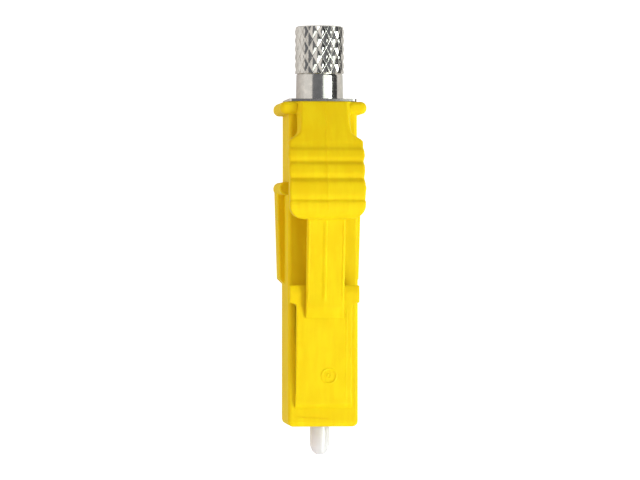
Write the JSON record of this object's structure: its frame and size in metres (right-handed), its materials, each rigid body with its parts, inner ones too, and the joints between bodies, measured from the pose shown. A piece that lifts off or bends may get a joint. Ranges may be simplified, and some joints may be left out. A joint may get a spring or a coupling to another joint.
{
  "type": "fibre optic connector",
  "caption": "Small-form-factor fibre-optic plug: square nose with a sprung ceramic ferrule, snap latch arm, ribbed finger trigger and a knurled metal crimp post.",
  "frame": {"origin": "centre of the nose's front face, on the ferrule axis", "axes": "+Y runs back along the ferrule axis to the crimp post, +Z is the latch side and +X completes the right-handed frame; the plug lies on its flat -Z back"},
  "size_m": [0.0056, 0.0276, 0.0075],
  "materials": {
    "yellow_moulding": "satin moulded thermoplastic",
    "zirconia": "polished white zirconia ceramic",
    "nickel": "nickel-plated turned brass",
    "clear_tube": "natural fluoropolymer tubing",
    "spring_steel": "drawn stainless spring wire"
  },
  "bodies": {
    "plug": {"plug_housing": "yellow_moulding", "rear_cap": "yellow_moulding", "crimp_post": "nickel", "ferrule_spring": "spring_steel"},
    "latch": {"latch_arm": "yellow_moulding"},
    "trigger": {"trigger_lever": "yellow_moulding"},
    "ferrule_core": {"ferrule": "zirconia", "ferrule_collar": "nickel", "extension_tube": "nickel", "buffer_tube": "clear_tube"}
  },
  "joints": [
    {"name": "trigger_press", "type": "hinge", "parent": "plug", "child": "trigger", "pos_m": [0, 0.0203, 0.00265], "axis": [1, 0, 0], "range_deg": [0, 1.65], "stiffness_Nm_per_rad": 0.2},
    {"name": "latch_flex", "type": "hinge", "parent": "plug", "child": "latch", "pos_m": [0, 0.00155, 0.00218], "axis": [1, 0, 0], "range_deg": [-4, 0], "stiffness_Nm_per_rad": 0.004},
    {"name": "ferrule_slide", "type": "slide", "parent": "plug", "child": "ferrule_core", "axis": [0, 1, 0], "range_m": [0, 0.0009], "stiffness_N_per_m": 1000, "deforming": ["ferrule_spring"]}
  ],
  "couplings": [
    {"joint": "latch_flex", "follows": "trigger_press", "ratio": -2.41}
  ]
}
